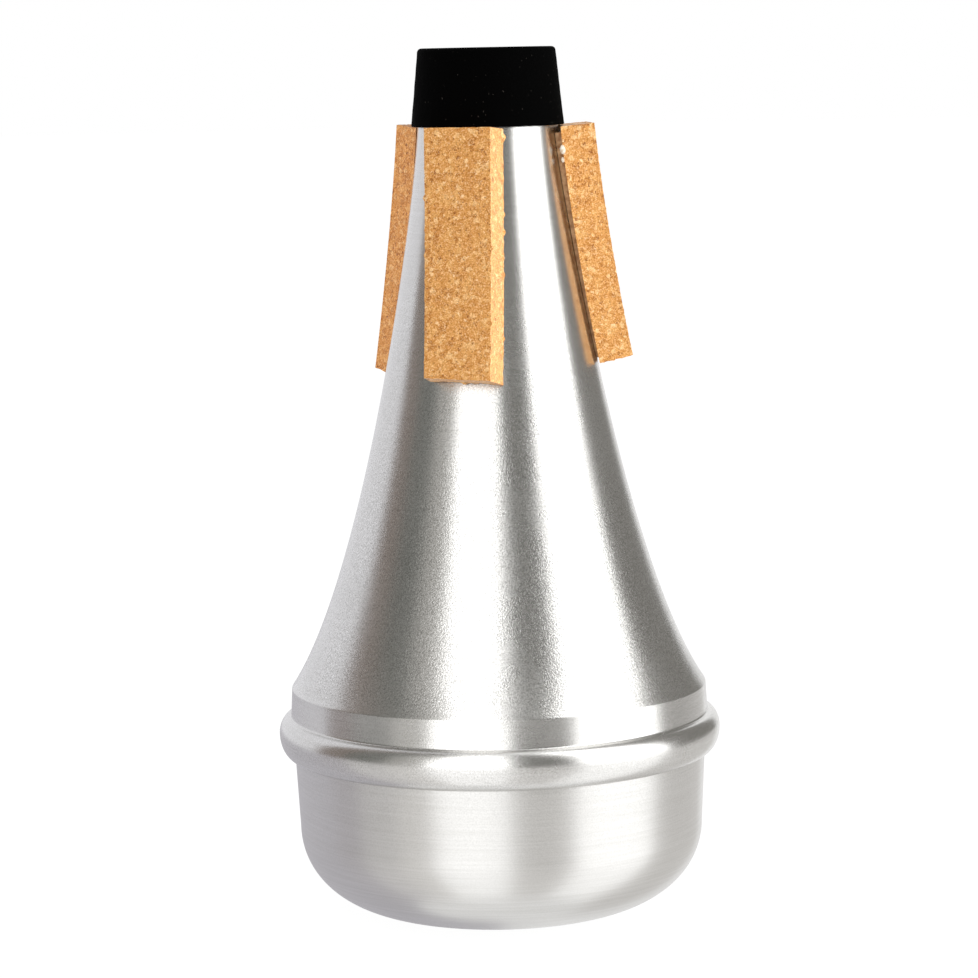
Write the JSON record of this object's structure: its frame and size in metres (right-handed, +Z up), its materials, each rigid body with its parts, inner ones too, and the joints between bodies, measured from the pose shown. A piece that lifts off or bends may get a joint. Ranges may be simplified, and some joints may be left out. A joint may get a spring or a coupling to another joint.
{
  "type": "trumpet mute",
  "caption": "Straight trumpet mute: hollow spun aluminium cone with a rolled bead and closed cup base, open neck in a black sleeve, and cork strips that grip the inside of the bell.",
  "frame": {"origin": "centre of the flat base that the mute stands on", "axes": "+Z up along the mute's axis towards its small open end; -Y towards the viewer of the reference picture, so +Y points away from it; +X to the viewer's right"},
  "size_m": [0.0844, 0.0844, 0.164],
  "materials": {
    "satin_aluminium": "satin, fine blasted grain with spinning marks round the axis",
    "black_rubber": "deep matt black",
    "pressed_cork": "raw pressed cork granules, cut edges slightly crumbly",
    "contact_glue": "dried contact glue, yellow brown"
  },
  "bodies": {
    "root": {"cone_shell": "satin_aluminium", "end_cup": "satin_aluminium", "tip_sleeve": "black_rubber", "cork_front": "pressed_cork", "cork_right": "pressed_cork", "cork_left": "pressed_cork", "glue_front": "contact_glue", "glue_right": "contact_glue", "glue_left": "contact_glue"}
  },
  "joints": []
}
